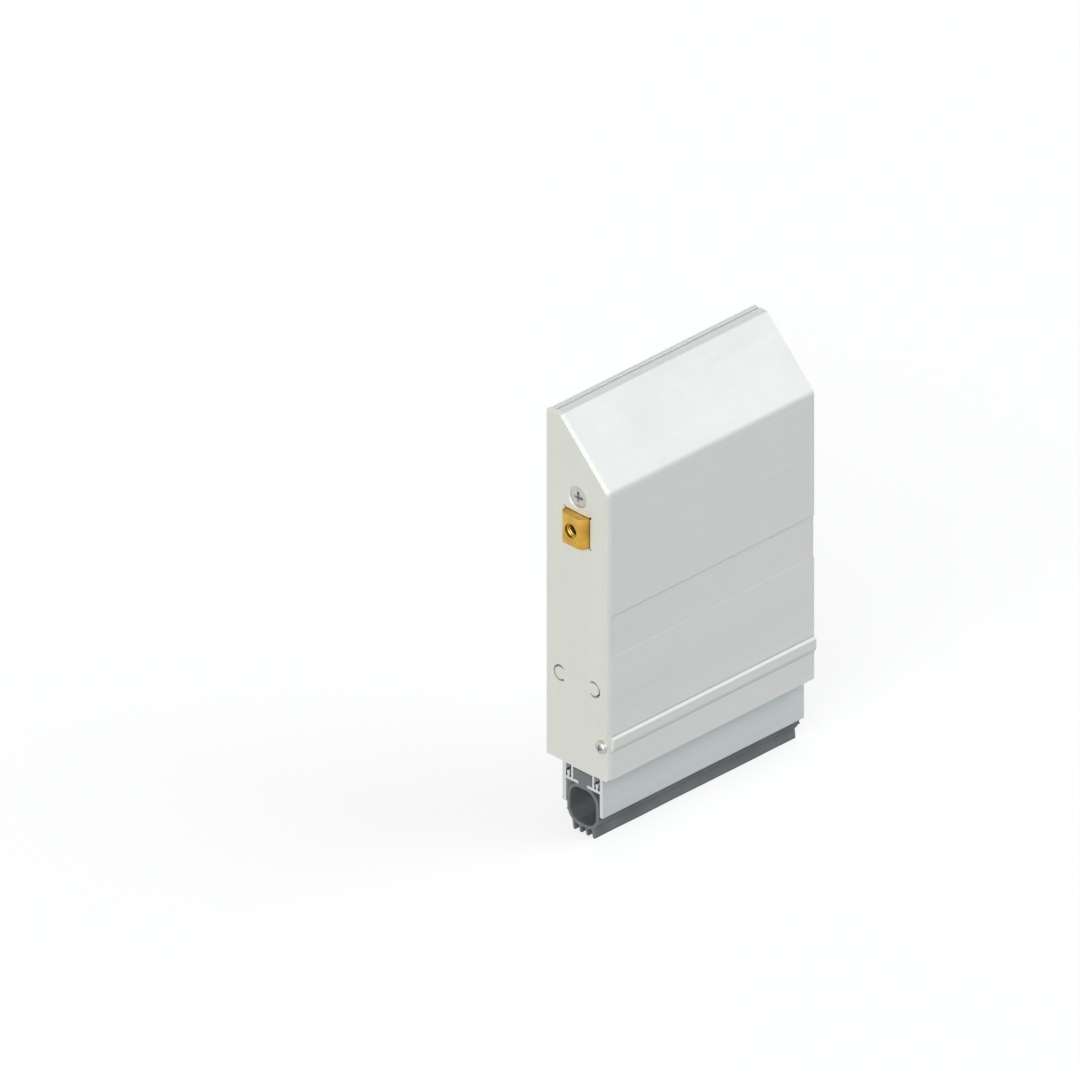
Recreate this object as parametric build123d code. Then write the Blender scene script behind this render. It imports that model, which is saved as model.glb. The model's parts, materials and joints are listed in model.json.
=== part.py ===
from build123d import *
import math
import os

# Automatic door bottom seal for the face of a door: a short length of it, with the seal down.
# X runs along the seal and the plunger end is at -X. The door is behind it, at +Y, and +Z is up.
# The origin is the middle of the back face, which lies flat on the door.
# Sections are drawn in t, the distance out from the door, and z, the height above the housing's foot.

# Housing, an aluminium back with a front cover that clips on
length = 97.0
housing_height = 134.5
housing_depth = 28.9
nose_flat = 6.4
nose_start = 2.6
nose_gap = 0.3
ridge_radius = 3.0
back_wall = 3.8
back_relief = 0.2
relief_hang = 24.4
cover_wall = 3.4
slope_wall = 3.75
foot_lead_width = 1.9
foot_lead_height = 3.0
nose_corner = 0.8
lip_corner = 0.6
hollow_corner = 1.2

# Round snap at the top, which the cover's bead turns in
snap_t = 5.5
snap_depth = 2.76
snap_bead_radius = 1.8
snap_clearance = 0.15
snap_neck = 1.5
snap_mouth = 2.2
snap_throat_share = 0.7
snap_flare_share = 1.4
snap_finger_t = 9.0
snap_finger_wall = 1.9
snap_finger_drop = 2.8
wedge_drop = 12.8

# Deck across the housing below the ridge, with the round socket that holds the mechanism channel
deck_hang = 10.0
deck_thick = 2.3
hook_floor = 2.6
hook_reach = 5.4
hook_wall = 2.0
hook_finger = 1.9
hook_clearance = 0.2
arch_wall = 2.15
socket_radius = 3.1
socket_mouth = 4.5
flute_rise = 3.7
spike_length = 1.6
spike_width = 1.4
deck_corner = 1.5
ledge_corner = 0.9
block_rise = 0.5
block_corner = 0.5

# Mechanism channel, which snaps into the deck
prong_clearance = 0.2
prong_bore = 3.0
prong_neck = 4.0
prong_opening = 1.6
prong_slit = 0.7
flange_thick = 2.0
flange_edge_back = 0.7
flange_edge_front = 0.1
channel_side_room = 3.25
channel_wall = 1.3
channel_leg = 13.7
channel_foot = 1.1
channel_foot_reach = 2.3
channel_set_back = 1.4
back_ledge_reach = 2.9
front_ledge_reach = 2.0
back_ledge_thick = 2.3
front_ledge_thick = 1.4
ledge_gap = 0.1
channel_corner = 0.6

# Screw flute and drip bead low on the cover, and the shallow band across its front
bead_rise = 13.2
bead_set_in = 2.2
bead_stand = 1.1
bead_shoulder = 2.95
bead_crown = 3.65
flute_bore = 2.8
band_rise = 47.0
band_height = 17.0
band_depth = 0.4
band_run_out = 0.8

# Countersunk holes in the back, for the screws into the door
fixing_bore = 4.5
fixing_head = 8.4
fixing_hang = 18.5
fixing_edge = 18.5
groove_depth = 0.4

# End plate and its two screws
plate_thick = 2.0
plate_corner = 0.8
window_clearance = 0.25
window_relief = 0.6
plate_screw_head = 8.1
plate_screw_hole = 8.7
plate_screw_length = 17.0
plate_screw_tip = 1.5
plate_screw_recess = 4.2
slot_radius = 2.7
slot_width = 0.8
slot_inset = 6.4
slot_rise = 33.8
slot_sweep = 250.0
cover_screw_head = 4.8
cover_screw_head_height = 1.8
cover_screw_hole = 3.2
cover_screw_length = 9.5
cover_screw_tip = 1.0
cover_screw_crown = 3.2
cover_screw_shoulder = 0.9
cover_screw_recess = 2.6
screw_clearance = 0.05
recess_depth = 1.2
recess_taper = 8.0

# Brass plunger, its adjusting screw and the slide that it pushes
plunger_side_gap = 0.7
plunger_length = 20.0
plunger_out = 5.3
plunger_corner = 3.0
plunger_edge = 0.4
plunger_bore = 5.5
plunger_gap = 0.3
travel = 12.0
adjuster_recess = 3.0
adjuster_length = 9.0
adjuster_key = 2.5
adjuster_key_depth = 3.0
slide_side_gap = 0.5
slide_head_height = 6.0
slide_spigot = 6.0
cam_thick = 2.2
cam_margin = 2.8
pin_hang = 26.0
pin_diameter = 3.0
pin_head = 4.4
pin_head_height = 0.5
pin_clearance = 0.05
slot_clearance = 0.2
pin_near_edge = 10.8

# Return spring and the stop block it pushes against
spring_pressed = 12.0
spring_wire = 0.8
spring_mean = 6.0
spring_turns = 5
spring_flat_count = 5
spring_end_gap = 0.1
spring_guide = 4.0
spring_guide_length = 3.5
stop_length = 6.0
stop_set_back = 2.5
stop_clearance = 0.05
stop_screw = 4.0
stop_screw_key = 2.0
stop_screw_key_depth = 2.0
stop_screw_short = 1.0

# Drop bar that carries the gasket
lift = travel
bar_set_back = 0.4
bar_back_wall = 1.7
bar_front_wall = 1.4
bar_hang = 33.0
bar_drop = 17.0
glide_clearance = 0.3
rear_glide_thick = 1.3
front_glide_thick = 0.8
rail_hang = 53.0
rail_floor_thick = 1.4
rail_wall = 1.8
rail_height = 7.8
rail_bead = 0.8
rail_bead_set_in = 0.5
pocket_height = 6.0
pocket_wall = 1.5
pocket_drop = 0.5
pocket_roof_back = 1.5
pocket_roof_front = 0.5
pocket_floor_back = 1.4
pocket_floor_front = 1.0
slant_back = 3.6
slant_front = 4.6
slant_high = 4.2
finger_wall = 1.2
finger_lip = 0.9
finger_skin = 1.4
ledge_drop = 8.0
ledge_thick = 1.1
gasket_slot = 4.2
box_wall = 0.9
box_side_room = 3.45
box_inside_height = 4.6
box_roof = 1.0
curl_inset = 2.8
curl_radius = 0.7
curl_stalk = 0.8
curl_rise = 1.6

# Glide strips pressed into the bar's side pockets
glide_height = 13.0
glide_fit = 0.15
glide_corner_rear = 0.5
glide_corner_front = 0.4

# Bulb gasket
gasket_fit = 0.2
gasket_side_gap = 0.5
gasket_height = 16.0
gasket_wall = 1.35
gasket_corner = 5.9
gasket_head_corner = 0.8
gasket_rib = 1.3
gasket_rib_height = 2.5
gasket_rib_count = 4
gasket_rib_edge = 2.9
gasket_rib_tip = 0.9
gasket_rib_lean = 0.6
gasket_lip = 0.5
gasket_lip_rise = 4.2

# Hangers that join the bar to the cam slots
hanger_length = 10.0
hanger_fit = 0.2
cheek_thick = 1.5
cheek_gap = 0.4
cheek_top = 2.7
cheek_round = 2.2
rivet_proud = 0.2
lift_room = 1.0

# How far cuts and joins run past the faces that they meet
overlap = 1.0

# Distances out from the door
cover_inside = housing_depth - cover_wall
bar_back = back_wall - back_relief + glide_clearance + rear_glide_thick
bar_front = cover_inside - glide_clearance - front_glide_thick
bar_inside = bar_front - bar_front_wall - bar_back - bar_back_wall
centre = (bar_back + bar_front) / 2
channel_out = centre - back_wall - channel_side_room
channel_inside = 2 * (channel_out - channel_wall)
channel_mouth = channel_inside - 2 * channel_foot_reach
plunger_size = channel_inside - 2 * plunger_side_gap
cheek_in = cam_thick / 2 + cheek_gap
cheek_out = cheek_in + cheek_thick
rail_back = centre - cheek_out - hanger_fit - rail_bead - rail_bead_set_in
pocket_back = rail_back - rail_wall
rail_front = centre + cheek_out + finger_lip
finger_front = rail_front + finger_wall
pocket_front = finger_front + finger_skin
box_inside = bar_inside - 2 * box_side_room
gasket_width = bar_inside - 2 * gasket_side_gap
bead_t = housing_depth - bead_set_in
bead_face = housing_depth + bead_stand
bead_radius = bead_face - bead_t

# Levels above the foot
foot_level = -housing_height / 2
ridge_level = housing_height - housing_depth + nose_flat
deck = ridge_level - deck_hang
flange_under = deck - flange_thick
feet_under = flange_under - channel_leg
flute_level = deck + flute_rise
plunger_level = flange_under - plunger_gap - plunger_size / 2
slot_half = pin_diameter / 2 + slot_clearance
pin_level = deck - pin_hang
bar_top = deck - bar_hang
rail_floor = deck - rail_hang
pocket_low = rail_floor - pocket_drop
pocket_high = pocket_low + pocket_height
cam_under = pin_level - slot_half - cam_margin
hanger_saddle = cam_under - lift - lift_room

# Places along X
near_end = -length / 2
far_end = length / 2
plunger_front = near_end - plunger_out
slide_front = plunger_front + plunger_length
stop_front = far_end - stop_set_back - stop_length
slide_rear = stop_front - spring_pressed
pin_near = slide_front + pin_near_edge
pin_far = slide_rear - cam_margin - slot_half - travel

# The cover's sloping wall lies on the back's wedge along this 45 degree plane
seat_sum = nose_flat + housing_height - slope_wall * math.sqrt(2)


def seat(t):
    """Height of the sloping seat at a distance t from the door."""
    return seat_sum - t


snap_place = (snap_t, seat(snap_t) - snap_depth * math.sqrt(2))


def slab(t_low, t_high, z_low, z_high):
    """Rectangle in the section, from corner to corner."""
    area = Rectangle(t_high - t_low, z_high - z_low, align=(Align.MIN, Align.MIN))
    return Pos(t_low, z_low) * area


def shape(*points):
    """Closed straight-sided area in the section."""
    return make_face(Polyline(*points, close=True))


def disc(t, z, radius):
    """Round area in the section."""
    return Pos(t, z) * Circle(radius)


def soften(section, radius, *places):
    """Round the corners of the section that lie nearest to the places."""
    for place in places:
        corner = section.vertices().sort_by_distance((place[0], place[1], 0))[0]
        section = fillet(corner, radius)
    return section


def section_plane(x):
    """Plane across the seal at x, with t to its right, z up and its front towards the plunger end."""
    return Plane(origin=(x, 0, foot_level), x_dir=(0, -1, 0), z_dir=(-1, 0, 0))


def run(section, x_low, x_high):
    """Extrude a section along the seal from x_low to x_high."""
    return extrude(section_plane(x_high) * section, x_high - x_low)


def across(t, z, x, radius, t_length):
    """Round bar across the seal, starting at distance t from the door."""
    return Pos(x, -t, foot_level + z) * Rot(90, 0, 0) * Cylinder(
        radius, t_length, align=(Align.CENTER, Align.CENTER, Align.MIN)
    )


def along(t, z, x, radius, x_length, x_radius=None):
    """Round bar or taper along the seal, starting at x."""
    place = Pos(x, -t, foot_level + z) * Rot(0, 90, 0)
    low = (Align.CENTER, Align.CENTER, Align.MIN)
    if x_radius is None:
        return place * Cylinder(radius, x_length, align=low)
    return place * Cone(radius, x_radius, x_length, align=low)


def snap_mouth_area():
    """Flared mouth of the round snap, square to the slope."""
    half = snap_mouth / 2
    throat = snap_depth * snap_throat_share
    flare = snap_depth * snap_flare_share
    area = shape((0, -half), (throat, -half), (flare, -snap_mouth), (flare, snap_mouth), (0, half))
    return Pos(*snap_place) * Rot(0, 0, 45) * area


def back_extrusion():
    """Back wall with the wedge and snap socket at its top, and the deck with its round socket."""
    lip = nose_start - nose_gap
    section = slab(0, back_wall, 0, snap_place[1])
    section += slab(0, lip, 0, housing_height)
    section += shape(
        (lip / 2, seat(lip) - wedge_drop),
        (back_wall, seat(lip) - wedge_drop),
        (snap_t + snap_finger_wall, snap_place[1] - snap_finger_drop),
        (snap_finger_t, seat(snap_finger_t)),
        (lip, seat(lip)),
        (lip / 2, seat(lip)),
    )
    section += slab(back_wall / 2, centre, deck, deck + deck_thick)
    section += slab(centre, cover_inside, deck, deck + hook_floor)
    section += slab(cover_inside - hook_wall, cover_inside, deck, deck + hook_reach)
    section += disc(centre, flute_level, socket_radius + arch_wall)
    section -= slab(centre - 2 * socket_mouth, centre + 2 * socket_mouth, deck - 3 * deck_thick, deck)
    ledge_top = flange_under - ledge_gap
    section += slab(back_wall / 2, back_wall + back_ledge_reach, ledge_top - back_ledge_thick, ledge_top)
    section = soften(section, ledge_corner, (back_wall + back_ledge_reach, ledge_top - back_ledge_thick))
    section = soften(section, deck_corner, (back_wall, deck + deck_thick))
    hook_top = (cover_inside - hook_wall, deck + hook_reach)
    section = soften(section, lip_corner, hook_top, (0, housing_height))
    section -= disc(centre, flute_level, socket_radius)
    mouth_top = flute_level - overlap
    section -= slab(centre - socket_mouth / 2, centre + socket_mouth / 2, deck - overlap, mouth_top)
    crown = flute_level + socket_radius
    section += shape(
        (centre - spike_width / 2, crown + arch_wall / 4),
        (centre, crown - spike_length),
        (centre + spike_width / 2, crown + arch_wall / 4),
    )
    section -= disc(*snap_place, snap_bead_radius + snap_clearance)
    section -= snap_mouth_area()
    section -= slab(back_wall - back_relief, back_wall + overlap, -overlap, deck - relief_hang)
    fixing_level = housing_height - fixing_hang
    section -= shape(
        (back_wall - groove_depth, fixing_level),
        (back_wall + groove_depth, fixing_level - 2 * groove_depth),
        (back_wall + groove_depth, fixing_level + 2 * groove_depth),
    )
    body = run(section, near_end, far_end)
    for x in (near_end + fixing_edge, far_end - fixing_edge):
        body -= across(-overlap, fixing_level, x, fixing_bore / 2, back_wall + 2 * overlap)
        sink = (fixing_head - fixing_bore) / 2
        cone = Cone(fixing_bore / 2, fixing_head / 2, sink, align=(Align.CENTER, Align.CENTER, Align.MIN))
        body -= Pos(x, sink - back_wall, foot_level + fixing_level) * Rot(90, 0, 0) * cone
    lead = prong_bore / 2 + channel_set_back
    return body - along(centre, flute_level, near_end, lead, channel_set_back, prong_bore / 2)


def front_cover():
    """Clip-on cover: front wall, sloping wall with its snap bead, hook, drip bead and screw flute."""
    block_top = seat(cover_inside) + block_rise
    block_under = deck + hook_reach + hook_clearance
    finger_high = cover_inside - hook_wall - hook_clearance
    finger_under = deck + hook_floor + ledge_gap
    section = slab(cover_inside, housing_depth, 0, ridge_level)
    section += shape(
        (nose_start, housing_height),
        (nose_flat, housing_height),
        (housing_depth, ridge_level),
        (housing_depth, seat(housing_depth)),
        (nose_start, seat(nose_start)),
    )
    section += slab(finger_high - hook_finger, cover_inside + overlap, block_under, block_top)
    section += slab(finger_high - hook_finger, finger_high, finger_under, block_top)
    ledge_top = flange_under - ledge_gap
    ledge_under = ledge_top - front_ledge_thick
    section += slab(cover_inside - front_ledge_reach, cover_inside + overlap, ledge_under, ledge_top)
    section = soften(section, ridge_radius, (housing_depth, ridge_level))
    section = soften(section, nose_corner, (nose_start, housing_height), (nose_flat, housing_height))
    section = soften(section, hollow_corner, (seat_sum - block_top, block_top))
    section = soften(section, ledge_corner, (finger_high, finger_under))
    section = soften(section, block_corner, (finger_high - hook_finger, block_top))
    lead_end = cover_inside + foot_lead_width
    section -= shape((cover_inside, foot_lead_height), (lead_end, 0), (cover_inside, 0))
    band_floor = housing_depth - band_depth
    section -= shape(
        (band_floor, band_rise + band_run_out),
        (band_floor, band_rise + band_height),
        (housing_depth + overlap, band_rise + band_height),
        (housing_depth + overlap, band_rise),
        (housing_depth, band_rise),
    )
    section += disc(bead_t, bead_rise, bead_radius)
    section += shape(
        (bead_t, bead_rise),
        (bead_face, bead_rise),
        (bead_face, bead_rise + bead_shoulder),
        (housing_depth, bead_rise + bead_crown),
        (bead_t, bead_rise + bead_crown),
    )
    bead_low = bead_rise - 2 * bead_radius
    section -= slab(cover_inside - 2 * bead_radius, cover_inside, bead_low, bead_low + 4 * bead_radius)
    section -= disc(bead_t, bead_rise, flute_bore / 2)
    neck = slab(0, snap_depth + overlap, -snap_neck / 2, snap_neck / 2)
    section += Pos(*snap_place) * Rot(0, 0, 45) * neck
    section += disc(*snap_place, snap_bead_radius)
    return run(section, near_end, far_end)


def mechanism_channel():
    """Channel that hangs in the deck by two curved prongs, which also hold the end plate's screw."""
    section = slab(back_wall + flange_edge_back, cover_inside - flange_edge_front, flange_under, deck)
    for side in (-1, 1):
        inner = centre + side * channel_inside / 2
        outer = centre + side * channel_out
        lip = centre + side * channel_mouth / 2
        section += slab(min(inner, outer), max(inner, outer), feet_under, flange_under + overlap)
        section += slab(min(lip, outer), max(lip, outer), feet_under, feet_under + channel_foot)
        section = soften(section, channel_corner, (outer, feet_under))
    section += disc(centre, flute_level, socket_radius - prong_clearance)
    neck_top = flute_level - overlap
    section += slab(centre - prong_neck / 2, centre + prong_neck / 2, deck - overlap, neck_top)
    section -= disc(centre, flute_level, prong_bore / 2)
    section -= slab(centre - prong_slit / 2, centre + prong_slit / 2, deck, flute_level)
    top = flute_level + socket_radius
    section -= slab(centre - prong_opening / 2, centre + prong_opening / 2, flute_level, top)
    return run(section, near_end + channel_set_back, far_end)


def end_plate():
    """Flat plate over the plunger end, with a window for the plunger and a countersunk screw hole."""
    section = shape(
        (0, 0),
        (housing_depth, 0),
        (housing_depth, ridge_level),
        (nose_flat, housing_height),
        (0, housing_height),
    )
    section = soften(section, ridge_radius, (housing_depth, ridge_level))
    section = soften(section, plate_corner, (0, 0), (housing_depth, 0), (nose_flat, housing_height))
    half = plunger_size / 2 + window_clearance
    section -= slab(centre - half, centre + half, plunger_level - half, plunger_level + half)
    for t in (centre - half, centre + half):
        for z in (plunger_level - half, plunger_level + half):
            section -= disc(t, z, window_relief)
    ring = SlotArc(CenterArc((0, 0), slot_radius, -slot_sweep / 2, slot_sweep), slot_width)
    section -= Pos(slot_inset, slot_rise) * Rot(0, 0, 180) * ring
    section -= Pos(housing_depth - slot_inset, slot_rise) * ring
    section -= disc(bead_t, bead_rise, cover_screw_hole / 2)
    body = run(section, near_end - plate_thick, near_end)
    outside = near_end - plate_thick
    inner = plate_screw_hole / 2 - plate_thick
    return body - along(centre, flute_level, outside, plate_screw_hole / 2, plate_thick, inner)


def cross_recess(t, z, x, width, depth):
    """Cross recess cut into a screw head from its outer face."""
    arms = Rectangle(width, width / 4) + Rectangle(width / 4, width)
    return extrude(section_plane(x + depth) * Pos(t, z) * arms, depth, taper=-recess_taper)


def end_plate_screw():
    """Countersunk screw through the plate into the flute between the channel's prongs."""
    core = prong_bore / 2 - screw_clearance
    sunk = (plate_screw_hole - plate_screw_head) / 2
    top = near_end - plate_thick + sunk
    head = plate_screw_head / 2
    shank_start = top + head - core
    shank_length = plate_screw_length - (head - core) - plate_screw_tip
    body = along(centre, flute_level, top, head, head - core, core)
    body += along(centre, flute_level, shank_start, core, shank_length)
    body += along(centre, flute_level, shank_start + shank_length, core, plate_screw_tip, core / 3)
    return body - cross_recess(centre, flute_level, top, plate_screw_recess, recess_depth)


def cover_screw():
    """Pan head screw through the plate into the flute low on the cover."""
    outside = near_end - plate_thick
    core = flute_bore / 2 - screw_clearance
    top = outside - cover_screw_head_height
    shoulder = cover_screw_head_height - cover_screw_shoulder
    rim = cover_screw_head / 2
    body = along(bead_t, bead_rise, top, cover_screw_crown / 2, shoulder, rim)
    body += along(bead_t, bead_rise, top + shoulder, rim, cover_screw_shoulder)
    shank_length = cover_screw_length - cover_screw_tip
    body += along(bead_t, bead_rise, outside, core, shank_length)
    body += along(bead_t, bead_rise, outside + shank_length, core, cover_screw_tip, core / 3)
    return body - cross_recess(bead_t, bead_rise, top, cover_screw_recess, recess_depth)


def plunger_block():
    """Brass block that the door frame presses in, with a bore for its adjusting screw."""
    half = plunger_size / 2
    section = slab(centre - half, centre + half, plunger_level - half, plunger_level + half)
    body = run(section, plunger_front, slide_front)
    body = fillet(body.edges().filter_by(Axis.Z).group_by(Axis.X)[0], plunger_corner)
    body = chamfer(body.faces().sort_by(Axis.X)[-1].edges(), plunger_edge)
    bore_start = plunger_front - overlap
    return body - along(centre, plunger_level, bore_start, plunger_bore / 2, plunger_length + 2 * overlap)


def adjusting_screw():
    """Socket screw in the plunger's bore, which sets how far the seal drops."""
    start = plunger_front + adjuster_recess
    body = along(centre, plunger_level, start, plunger_bore / 2 - screw_clearance, adjuster_length)
    key = Pos(centre, plunger_level) * RegularPolygon(adjuster_key / 2, 6, major_radius=False)
    return body - extrude(section_plane(start + adjuster_key_depth) * key, adjuster_key_depth)


def cam_slot(x):
    """Slot at 45 degrees that a hanger pin climbs as the slide moves out."""
    path = Line((x, 0, foot_level + pin_level), (x + travel, 0, foot_level + pin_level + lift))
    face = Plane.XZ * Pos(x + travel / 2, foot_level + pin_level + lift / 2) * Rot(
        0, 0, math.degrees(math.atan2(lift, travel))
    ) * SlotCenterToCenter(path.length, 2 * slot_half)
    return extrude(face, housing_depth)


def slide_bar():
    """Slide with a head that runs in the channel and a cam plate with one slot for each hanger."""
    head_half = channel_inside / 2 - slide_side_gap
    head_under = plunger_level - slide_head_height / 2
    section = slab(centre - head_half, centre + head_half, head_under, head_under + slide_head_height)
    section += slab(centre - cam_thick / 2, centre + cam_thick / 2, cam_under, head_under + overlap)
    body = run(section, slide_front, slide_rear)
    spigot = plunger_bore / 2 - screw_clearance
    body += along(centre, plunger_level, slide_front - slide_spigot, spigot, slide_spigot + overlap)
    guide_start = slide_rear - overlap
    body += along(centre, plunger_level, guide_start, spring_guide / 2, spring_guide_length + overlap)
    for x in (pin_near, pin_far):
        body -= cam_slot(x)
    return body


def return_spring():
    """Compression spring between the slide and the stop block; flats on its wire keep it light."""
    start = slide_rear + spring_wire / 2 + spring_end_gap
    height = spring_pressed - spring_wire - 2 * spring_end_gap
    coil = Helix(height / spring_turns, height, spring_mean / 2)
    start_plane = Plane(coil @ 0, z_dir=coil % 0)
    wire = sweep(start_plane * RegularPolygon(spring_wire / 2, spring_flat_count), path=coil)
    return Pos(start, -centre, foot_level + plunger_level) * Rot(0, 90, 0) * wire


def spring_stop():
    """Block clamped in the channel behind the spring, tapped for its grub screw."""
    half = channel_inside / 2 - stop_clearance
    low = feet_under + channel_foot + stop_clearance
    section = slab(centre - half, centre + half, low, flange_under - stop_clearance)
    body = run(section, stop_front, stop_front + stop_length)
    guide_start = stop_front - spring_guide_length
    body += along(centre, plunger_level, guide_start, spring_guide / 2, spring_guide_length + overlap)
    bore = Cylinder(stop_screw / 2 + stop_clearance, 3 * plunger_size)
    return body - Pos(stop_front + stop_length / 2, -centre, foot_level + plunger_level) * bore


def stop_grub_screw():
    """Grub screw that clamps the stop block between the channel's flange and feet."""
    top = flange_under - stop_clearance
    low = feet_under + channel_foot + stop_screw_short
    place = Pos(stop_front + stop_length / 2, -centre, foot_level + low)
    body = place * Cylinder(stop_screw / 2, top - low, align=(Align.CENTER, Align.CENTER, Align.MIN))
    key = extrude(RegularPolygon(stop_screw_key / 2, 6, major_radius=False), stop_screw_key_depth)
    return body - place * key


def drop_bar():
    """Bar with side pockets for the glide strips, a rail for the hangers and a slot for the gasket."""
    section = slab(bar_back, bar_back + bar_back_wall, -bar_drop, bar_top)
    section += slab(bar_front - bar_front_wall, bar_front, -bar_drop, bar_top)
    section += slab(bar_back, rail_back, pocket_low - pocket_floor_back, pocket_high + pocket_roof_back)
    section += shape(
        (pocket_back, pocket_low),
        (pocket_back, pocket_low - pocket_floor_front),
        (rail_back, pocket_low - pocket_floor_front),
        (bar_back + bar_back_wall, pocket_low - slant_back),
        (bar_back, pocket_low - slant_back),
        (bar_back, pocket_low),
    )
    section += slab(rail_back - overlap, rail_front + overlap, rail_floor - rail_floor_thick, rail_floor)
    rim = pocket_front - pocket_wall
    section += slab(rim, bar_front, pocket_low - pocket_floor_front, pocket_high + pocket_roof_front)
    section += shape(
        (rim, pocket_low),
        (bar_front, pocket_low),
        (bar_front, pocket_low - slant_front),
        (bar_front - bar_front_wall, pocket_low - slant_front),
        (rim, pocket_low - pocket_floor_front),
    )
    section += shape(
        (rim, pocket_high),
        (bar_front, pocket_high),
        (bar_front, pocket_high + slant_high),
        (bar_front - bar_front_wall, pocket_high + slant_high),
        (rim, pocket_high + pocket_floor_front),
    )
    rail_top = rail_floor + rail_height
    section += slab(rail_front, finger_front, rail_floor - rail_floor_thick, rail_top)
    section += disc(rail_front + finger_lip / 9, rail_top, finger_lip)
    section += disc(rail_back + rail_bead_set_in, rail_top, rail_bead)
    section += slab(pocket_back, rail_back, pocket_high, rail_top)
    section += slab(bar_back + overlap, bar_front - overlap, -ledge_drop, -ledge_drop + ledge_thick)
    box_low = -ledge_drop + ledge_thick
    box_high = box_low + box_inside_height
    box_top = box_high + box_roof
    box_half = box_inside / 2
    box_out = box_half + box_wall
    section += slab(centre - box_out, centre + box_out, box_low - ledge_thick / 2, box_top)
    section = soften(section, box_roof, (centre - box_out, box_top), (centre + box_out, box_top))
    section -= slab(centre - box_half, centre + box_half, box_low, box_high)
    slot_top = box_low + overlap
    section -= slab(centre - gasket_slot / 2, centre + gasket_slot / 2, -ledge_drop - overlap, slot_top)
    for side, edge in ((1, bar_back), (-1, bar_front)):
        curl_t = edge + side * curl_inset
        stalk_low = box_low - ledge_thick / 2
        section += slab(curl_t - curl_stalk / 2, curl_t + curl_stalk / 2, stalk_low, box_low + curl_rise)
        section += disc(curl_t, box_low + curl_rise, curl_radius)
    section -= slab(bar_back - overlap, pocket_back, pocket_low, pocket_high)
    section -= slab(pocket_front, bar_front + overlap, pocket_low, pocket_high)
    return run(section, near_end + bar_set_back, far_end - bar_set_back)


def rear_glide_strip():
    """Dark strip in the bar's back pocket, which slides on the back wall."""
    middle = (pocket_low + pocket_high) / 2
    face = bar_back - rear_glide_thick
    low = middle - glide_height / 2
    high = middle + glide_height / 2
    section = slab(face, bar_back, low, high)
    section = soften(section, glide_corner_rear, (face, low), (face, high))
    stem_start = bar_back - rear_glide_thick / 2
    stem = slab(stem_start, pocket_back - glide_fit, pocket_low + glide_fit, pocket_high - glide_fit)
    return run(section + stem, near_end + bar_set_back, far_end - bar_set_back)


def front_glide_strip():
    """Dark strip in the bar's front pocket, which slides on the cover."""
    middle = (pocket_low + pocket_high) / 2
    face = bar_front + front_glide_thick
    low = middle - glide_height / 2
    high = middle + glide_height / 2
    section = slab(bar_front, face, low, high)
    section = soften(section, glide_corner_front, (face, low), (face, high))
    stem_end = bar_front + front_glide_thick / 2
    stem = slab(pocket_front + glide_fit, stem_end, pocket_low + glide_fit, pocket_high - glide_fit)
    return run(section + stem, near_end + bar_set_back, far_end - bar_set_back)


def bulb_underside(t):
    """Level of the bulb's underside at a distance t from the door."""
    bottom = -ledge_drop - gasket_height
    past_flat = max(abs(t - centre) - gasket_width / 2 + gasket_corner, 0)
    return bottom + gasket_corner - math.sqrt(gasket_corner**2 - past_flat**2)


def bulb_gasket():
    """Rubber bulb with a T-shaped head held in the bar's slot and slanted ribs under it."""
    head_low = -ledge_drop + ledge_thick
    head_half = box_inside / 2 - gasket_fit
    head_top = head_low + box_inside_height - 2 * gasket_fit
    head = slab(centre - head_half, centre + head_half, head_low, head_top)
    head_corners = ((centre - head_half, head_top), (centre + head_half, head_top))
    head = soften(head, gasket_head_corner, *head_corners)
    neck_half = gasket_slot / 2 - gasket_fit
    top = -ledge_drop
    bottom = top - gasket_height
    half = gasket_width / 2
    bulb = RectangleRounded(gasket_width, gasket_height, gasket_corner)
    section = Pos(centre, (top + bottom) / 2) * bulb
    section += slab(centre - neck_half, centre + neck_half, top - gasket_wall, head_low + overlap) + head
    for side in (-1, 1):
        edge = centre + side * half
        lip_level = bottom + gasket_lip_rise
        section += shape(
            (edge - side * gasket_wall, lip_level + 2 * gasket_lip),
            (edge + side * gasket_lip, lip_level),
            (edge - side * gasket_wall, lip_level - 2 * gasket_lip),
        )
    rib_span = gasket_width - 2 * gasket_rib_edge
    for rib in range(gasket_rib_count):
        t = centre - rib_span / 2 + rib * rib_span / (gasket_rib_count - 1)
        tip = t + gasket_rib_lean
        back = t - gasket_rib / 2
        front = t + gasket_rib / 2
        section += shape(
            (back, bulb_underside(back) + gasket_wall / 2),
            (front, bulb_underside(front) + gasket_wall / 2),
            (tip + gasket_rib_tip / 2, bottom - gasket_rib_height),
            (tip - gasket_rib_tip / 2, bottom - gasket_rib_height),
        )
    void_corner = gasket_corner - gasket_wall
    void = RectangleRounded(gasket_width - 2 * gasket_wall, gasket_height - 2 * gasket_wall, void_corner)
    section -= Pos(centre, (top + bottom) / 2) * void
    return run(section, near_end + bar_set_back, far_end - bar_set_back)


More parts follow.
